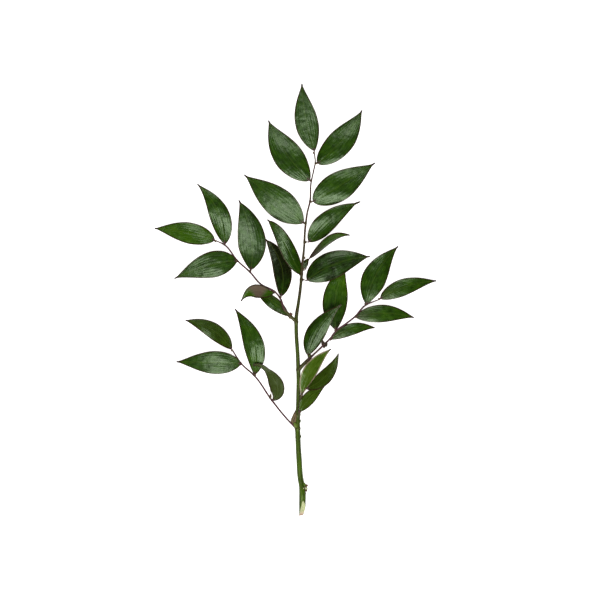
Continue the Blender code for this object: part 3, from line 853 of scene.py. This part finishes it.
def buildLeaves(place, shoot, samples, distance):
    # every leaf of a shoot with its stalk; returns where along the stem they spring
    springs = []
    for number, leafLook in enumerate(shoot["leaves"], start=1):
        leafLook["seed"] = 11 * number + len(place)
        spring = nearestOn(samples, (leafLook["stalk"] + [leafLook["foot"]])[0])
        springs.append(distance[spring])
        stalk = leafStalk(samples, spring, leafLook)
        shells = [(leafBlade(leafLook, bladeLook), "leaf"), (stalk, "twigBark")]
        makePiece(f"{place}Leaf{number}", shells, shoot["node"])
    return springs


def scaleShell(base, point, halfWidth, rise, seed, widest=0.3, tone=-0.02):
    # one little dry scale leaf from its base to its point
    base, point = np.array(base, float), np.array(point, float)
    bend = (base + point) / 2 + [0, 0, rise]
    made = leaf(tuple(base), tuple(bend), tuple(point), halfWidth, widest, 0, -0.5 * halfWidth, tone)
    made["seed"] = seed
    return leafBlade(made, bractLook)


def buildNodeScales(place, shoot, samples):
    # the dry scale at each node, from whose axil the leaf springs
    shells = []
    for number, leafLook in enumerate(shoot["leaves"], start=1):
        spring = nearestOn(samples, leafLook["foot"])
        here = samples[spring, :3]
        step = unit(samples[min(spring + 1, len(samples) - 1), :3] - samples[max(spring - 1, 0), :3])
        toLeaf = unit(midribAt(leafLook, 0.12)[0] - here)
        radius = samples[spring, 3]
        outward = unit(toLeaf - step * (toLeaf @ step))
        base = here - step * 1.2 + outward * radius * 0.7
        point = here + step * 1.1 + outward * (radius + 1.0) + [0, 0, 0.3]
        shells.append((scaleShell(base, point, 0.75, 0.4, 40 + number), "scale"))
    makePiece(f"{place}NodeScales", shells, shoot["node"])


print("ruscus: the side shoots")
for place, shoot in sideShoots.items():
    samples, distance = smoothRoute(shoot["route"], stemLook["ringSpacing"] * 0.6)
    springs = buildLeaves(place, shoot, samples, distance)
    browning = 0.1 + 0.85 * np.clip((distance - shoot["greenBase"]) / stemLook["purpleFade"], 0, 1)
    twig = stemTube(
        samples, distance, stemLook["twigSides"], stemLook["twigRidges"], stemLook["ridgeDepth"], browning,
        springs, len(place),
    )
    makePiece(f"{place}Twig", [(twig, "twigBark")], shoot["node"])
    buildNodeScales(place, shoot, samples)

print("ruscus: the main stem and its leaves")
cutEnd = {
    "topY": -210.5,
    "bottomY": -226.6,
    "lean": 3.5,               # the left side of the cut reaches further down
    "rounding": 0.9,           # how fast the lower right corner of the cut rises
    "slantedRings": 11,
    "woodShare": 0.97,         # of the stem's radius, inside the bark
    "woodDepth": 2.5,
    "woodProud": 0.14,         # how far the wood stands out of the bark's end
    "woodRings": 12,
    "fibreDepth": 0.07,
    "pinkLength": 5.0,         # of the pinker wood at the low end
}
mainSamples, mainDistance = smoothRoute(mainShoot["route"], stemLook["ringSpacing"])
mainSprings = buildLeaves("main", mainShoot, mainSamples, mainDistance)
for shoot in sideShoots.values():
    mainSprings.append(mainDistance[nearestOn(mainSamples, shoot["route"][0][:3])])
mainBrowning = np.interp(mainSamples[:, 1], *zip(*mainShoot["brownAt"]))
mainTube = stemTube(
    mainSamples, mainDistance, stemLook["stemSides"], stemLook["ridges"], stemLook["ridgeDepth"],
    mainBrowning, mainSprings, 5, stemLook["edgeBrownAndShade"], stemLook["paintedHighlightBand"],
)


def slantTheCut(tube, sides):
    # shears the first rings so that the stem ends in a slanting cut
    points = tube["points"].reshape(-1, sides, 3)
    first = points[0]
    tall = first[:, 2].max()
    middleX = first[:, 0].mean()
    cutY = cutEnd["bottomY"] + (cutEnd["topY"] - cutEnd["bottomY"]) * first[:, 2] / tall
    lowest = cutEnd["bottomY"] + cutEnd["rounding"] * np.maximum(first[:, 0] - middleX, 0) ** 1.9
    cutY = np.maximum(cutY + cutEnd["lean"] * np.minimum(first[:, 0] - middleX, 0), lowest)
    last = cutEnd["slantedRings"]
    for k in range(last):
        share = k / last
        points[k, :, 1] = cutY * (1 - share) + points[last, :, 1] * share
    tube["points"] = points.reshape(-1, 3)
    return points[0].copy()


def hollowTheEnd(tube, sides):
    # the bark's end becomes a shallow funnel, hidden behind the wood
    deep = tube["points"][:sides].mean(axis=0) + [0, cutEnd["woodDepth"], 0]
    last = len(tube["points"])
    tube["points"] = np.vstack([tube["points"], deep])
    tube["faces"][-2:-1] = [[k, (k + 1) % sides, last] for k in range(sides)]
    for name, value in tube["attributes"].items():
        tube["attributes"][name] = np.append(value, value[0])


cutRing = slantTheCut(mainTube, stemLook["stemSides"])
hollowTheEnd(mainTube, stemLook["stemSides"])
makePiece("mainStem", [(mainTube, "stemBark")], mainShoot["node"])
buildNodeScales("main", mainShoot, mainSamples)


def cutWoodShell(ring):
    # the wood inside the bark: a fibrous face a hair proud of the cut, and a plug behind it
    sides = len(ring)
    middle = ring.mean(axis=0)
    normal = unit(np.cross(ring[sides // 4] - middle, ring[sides // 2] - middle))
    if normal[1] > 0:
        normal = -normal
    shares = np.linspace(0.08, 1, cutEnd["woodRings"])
    random = np.random.default_rng(3)
    points, rims = [middle + normal * 0.2], [0.0]
    for share in shares:
        flat = middle + (ring - middle) * share * cutEnd["woodShare"]
        fibre = cutEnd["fibreDepth"] * np.sin(flat[:, 0] * 7.5 + 0.6 * random.random())
        proud = cutEnd["woodProud"] + fibre * (1 - share ** 4) - 0.1 * share ** 8
        points += list(flat + normal * proud[:, None])
        rims += [share] * sides
    back = middle + (ring - middle) * cutEnd["woodShare"] * 0.9 - normal * cutEnd["woodDepth"] * 0.3
    points += list(back)
    rims += [1.0] * sides
    count = len(shares) + 1
    faces = [[0, 1 + k, 1 + (k + 1) % sides] for k in range(sides)]
    for i in range(count - 1):
        for k in range(sides):
            a = 1 + i * sides + k
            b = 1 + i * sides + (k + 1) % sides
            faces.append([a, a + sides, b + sides, b])
    first = 1 + (count - 1) * sides
    faces.append([first + k for k in reversed(range(sides))])
    points = np.array(points)
    points[:, 2] = np.maximum(points[:, 2], stemLook["tableGap"])
    low = np.clip((cutEnd["bottomY"] + 5.5 - points[:, 1]) / cutEnd["pinkLength"], 0, 1)
    return {"points": points, "faces": faces, "attributes": {"toRim": np.array(rims), "browning": low}}


splinters = {"count": 18, "roots": 8, "sides": 8, "radii": (0.36, 0.3, 0.08)}


def fibreSplinters(ring):
    # torn fibres at the low end of the cut
    random = np.random.default_rng(8)
    low = ring[np.argsort(ring[:, 1])[:splinters["roots"]]]
    shells = []
    for number in range(splinters["count"]):
        start = low[number % len(low)] + [random.uniform(-0.3, 0.3), 0.7, random.uniform(0.1, 0.9)]
        reach = random.uniform(0.7, 1.6)
        end = start + [random.uniform(-0.7, 0.2), -reach * 0.75, random.uniform(0.0, 0.5)]
        start[2], end[2] = max(start[2], 0.35), max(end[2], 0.3)
        end[1] = max(end[1], cutEnd["bottomY"] - 0.7)
        places = (start, 0.5 * start + 0.5 * end, end)
        route = [(*place, radius) for place, radius in zip(places, splinters["radii"])]
        sliver, distance = smoothRoute(route, 0.25)
        shell = stemTube(sliver, distance, splinters["sides"], 0, 0, np.full(len(distance), 0.9))
        shells.append((shell, "wood"))
    return shells


cutShells = [(cutWoodShell(cutRing), "wood")] + fibreSplinters(cutRing)
makePiece("cutWoodFace", cutShells, mainShoot["node"])

# The stump of a side branch that was trimmed off, with a brown callus round its pale wood
stump = {
    "route": [
        (6.6, -199.6, 2.6, 1.9), (8.0, -198.9, 3.4, 2.0), (9.0, -198.4, 4.0, 2.0),
        (9.9, -197.9, 4.6, 2.1), (10.4, -197.7, 4.9, 2.5), (10.8, -197.5, 5.2, 2.8),
        (11.0, -197.4, 5.35, 2.6), (10.9, -197.5, 5.3, 1.9), (10.7, -197.55, 5.15, 1.0),
        (10.65, -197.6, 5.15, 0.15),
    ],
    "brownFrom": 4,            # the ring where the callus starts
    "woodFrom": 8,             # and the one where the wood starts
    "sides": 24,
}


def stumpShell():
    # the stump, and the material of each of its faces
    samples = np.array(stump["route"], float)
    axis = unit(samples[3, :3] - samples[0, :3])
    side = unit(np.cross(axis, [0, 0, 1]))
    up = np.cross(side, axis)
    sides = stump["sides"]
    angle = 2 * math.pi * (np.arange(sides) + 0.5) / sides
    outward = np.sin(angle)[:, None] * side - np.cos(angle)[:, None] * up
    lumpy = 1 + 0.1 * np.sin(2 * angle + 0.6) + 0.07 * np.sin(5 * angle)
    points = []
    for number, (x, y, z, radius) in enumerate(samples):
        shape = lumpy if number >= stump["brownFrom"] else 1 + 0 * angle
        points += list(np.array([x, y, z]) + outward * (radius * shape)[:, None])
    points = np.array(points)
    points[:, 2] = np.maximum(points[:, 2], stemLook["tableGap"])
    faces, kinds = [list(range(sides))], ["stemBark"]
    for i in range(len(samples) - 1):
        brown = "twigBark" if i >= stump["brownFrom"] - 1 else "stemBark"
        kind = "wood" if i >= stump["woodFrom"] - 1 else brown
        for k in range(sides):
            a, b = i * sides + k, i * sides + (k + 1) % sides
            faces.append([a, a + sides, b + sides, b])
            kinds.append(kind)
    last = (len(samples) - 1) * sides
    faces.append([last + k for k in reversed(range(sides))])
    kinds.append("wood")
    browning = np.clip((points[:, 0] - 7) / 4, 0.1, 1) * 0.8
    browning[sides * (stump["woodFrom"] - 1):] = 0
    return {"points": points, "faces": faces, "attributes": {"browning": browning}}, kinds


makePiece("trimmedStump", [stumpShell()], mainShoot["node"], sharpAngle=180)

# Callus, buds and leaf scars: rounded lumps on the stem, each with its middle, half its length as a
# direction, its radius, how brown it is (below 0: young and pale), and its material
stemKnobs = [
    ((11.8, -194.8, 4.6), (0.5, 1.3, 0.2), 1.3, 0.3, "callus"),
    ((11.3, -200.0, 4.4), (0.6, -1.3, 0.2), 1.15, 0.4, "callus"),
    ((9.4, -196.2, 3.8), (2.2, 1.7, 0.4), 1.6, 0.0, "stemBark"),
    ((9.0, -193.6, 4.0), (1.9, -2.4, 0.3), 1.5, -0.15, "stemBark"),
    ((9.3, -197.8, 5.4), (1.9, 0.1, -0.3), 1.0, 0.0, "wood"),
    ((10.3, -203.4, 3.6), (0.1, 2.0, 0.1), 0.8, 0.6, "callus"),
    ((0.1, -131.6, 4.3), (-2.0, 3.2, 0.6), 1.8, -0.35, "stemBark"),
    ((0.4, -144.6, 3.6), (-0.4, 1.8, 0.2), 0.8, 0.2, "stemBark"),
    ((4.9, -127.3, 3.6), (0.4, 1.8, 0.2), 0.75, 0.6, "stemBark"),
    ((5.3, -143.6, 3.4), (0.3, 1.8, 0.2), 0.75, 0.6, "stemBark"),
    ((-5.0, -14.6, 9.4), (-1.2, 1.4, 0.4), 1.2, 0.5, "callus"),
    ((14.6, -58.2, 7.4), (1.6, 1.4, 0.4), 1.6, 0.62, "stemBark"),
]


# the share of a knob's radius along its reach
knobProfile = [(-1.0, 0.2), (-0.75, 0.66), (-0.3, 0.95), (0.3, 0.95), (0.75, 0.66), (1.0, 0.2)]


def knobShell(middle, reach, radius, brown, seed):
    # a lump that swells and closes again along its reach
    middle, reach = np.array(middle, float), np.array(reach, float)
    route = [(*(middle + reach * place), radius * share) for place, share in knobProfile]
    lump, distance = smoothRoute(route, 0.3)
    browning = np.full(len(distance), max(brown, 0.0))
    shell = stemTube(lump, distance, stemLook["knobSides"], 3, 0.08, browning, (), seed)
    shell["attributes"]["pallor"] = np.full(len(shell["points"]), max(-brown, 0.0))
    return shell


knobShells = []
for number, (middle, reach, radius, brown, bark) in enumerate(stemKnobs):
    knobShells.append((knobShell(middle, reach, radius, brown, 90 + number), bark))
makePiece("stemKnobs", knobShells, mainShoot["node"])

# The large dry scale where the lower left shoot leaves the stem, and the scales of other junctions
junctionScales = [
    ((-2.4, -129.8, 4.6), (0.2, -115.0, 5.9), 2.6, 1.2, 0.2, 0.06),
    ((-27.0, -103.6, 7.6), (-25.8, -97.6, 8.8), 0.9, 0.4, 0.3, 0),
    ((-4.6, -15.8, 9.0), (-5.4, -12.6, 10.6), 1.4, 0.6, 0.3, -0.06),
    ((-6.6, -17.8, 9.0), (-3.8, -19.4, 9.4), 0.9, 0.4, 0.3, 0.2),
    ((29.4, -47.6, 9.0), (28.6, -41.8, 11.2), 1.6, 0.6, 0.4, -0.2),
    ((30.6, -48.6, 8.6), (33.4, -43.4, 10.8), 1.6, 0.7, 0.4, -0.2),
    ((28.6, -49.2, 8.4), (31.4, -47.4, 10.4), 1.4, 0.6, 0.4, -0.2),
]
junctionShells = []
for number, (base, point, halfWidth, rise, widest, tone) in enumerate(junctionScales):
    junctionShells.append((scaleShell(base, point, halfWidth, rise, 70 + number, widest, tone), "scale"))
makePiece("junctionScales", junctionShells, mainShoot["node"])

print("ruscus: the table, the lights and the camera")
studio = {
    "tableSize": 6.0,
    "tableColour": "#f7f7f5",
    "tableGlow": 1.0,          # keeps the table white without a shadow
    "cameraHeight": 3.51,
    "lens": 200.0,
    "aim": (0.0047, 0.00026),
    "worldStrength": 0.05,     # on the spray
    "worldSeen": 0.95,         # where the camera sees past the table
}


def paleTable():
    size = studio["tableSize"]
    mesh = bpy.data.meshes.new("paleTable")
    corners = [(-size, -size, 0), (size, -size, 0), (size, size, 0), (-size, size, 0)]
    mesh.from_pydata(corners, [], [(0, 1, 2, 3)])
    table = bpy.data.objects.new("paleTable", mesh)
    bpy.context.scene.collection.objects.link(table)
    material, add, shader = newMaterial("paleStudioSurface", 0.9, 1.45)
    place = add("TexCoord", output="Object")
    tooth = add("TexNoise", {"Vector": place, "Scale": 900.0, "Detail": 2.0})
    paper = add("Mix", {0: tooth, 6: linear("#f1f1ef"), 7: linear(studio["tableColour"])}, **colourMix)
    glow = {"Emission Color": linear("#ffffff"), "Emission Strength": studio["tableGlow"]}
    plug(shader, {"Base Color": paper, **glow})
    mesh.materials.append(material)


def softbox(name, place, target, size, watts):
    data = bpy.data.lights.new(name, "AREA")
    data.shape = "RECTANGLE"
    data.size, data.size_y = size
    data.energy = watts
    lamp = bpy.data.objects.new(name, data)
    lamp.location = place
    direction = np.array(target, float) - np.array(place, float)
    flat = math.hypot(direction[0], direction[1])
    heading = math.atan2(direction[1], direction[0]) - math.pi / 2
    lamp.rotation_euler = (math.atan2(flat, -direction[2]), 0, heading)
    bpy.context.scene.collection.objects.link(lamp)


softboxes = {                  # place, width and depth, in metres, and watts
    "keySoftbox": ((-0.12, -1.0, 1.65), (1.0, 0.75), 25.5),
    "farSoftbox": ((0.0, 1.15, 1.5), (0.8, 0.65), 10.0),
}
paleTable()
for name, (place, size, watts) in softboxes.items():
    softbox(name, place, (0, 0, 0), size, watts)

world = bpy.data.worlds.new("studioRoom")
world.use_nodes = True
backdrop = world.node_tree.nodes["Background"]
seen = addNode(world.node_tree, "LightPath", output="Is Camera Ray")
strengths = {0: seen, 3: studio["worldStrength"], 4: studio["worldSeen"]}
strength = addNode(world.node_tree, "MapRange", strengths)
plug(backdrop, {"Color": linear("#ffffff"), "Strength": strength})
bpy.context.scene.world = world
bpy.context.scene.view_settings.view_transform = "Standard"

cameraData = bpy.data.cameras.new("overheadCamera")
cameraData.lens = studio["lens"]
cameraData.sensor_width = 36.0
cameraData.clip_end = 50.0
camera = bpy.data.objects.new("overheadCamera", cameraData)
camera.location = (*studio["aim"], studio["cameraHeight"])
bpy.context.scene.collection.objects.link(camera)
bpy.context.scene.camera = camera

print("ruscus: done")
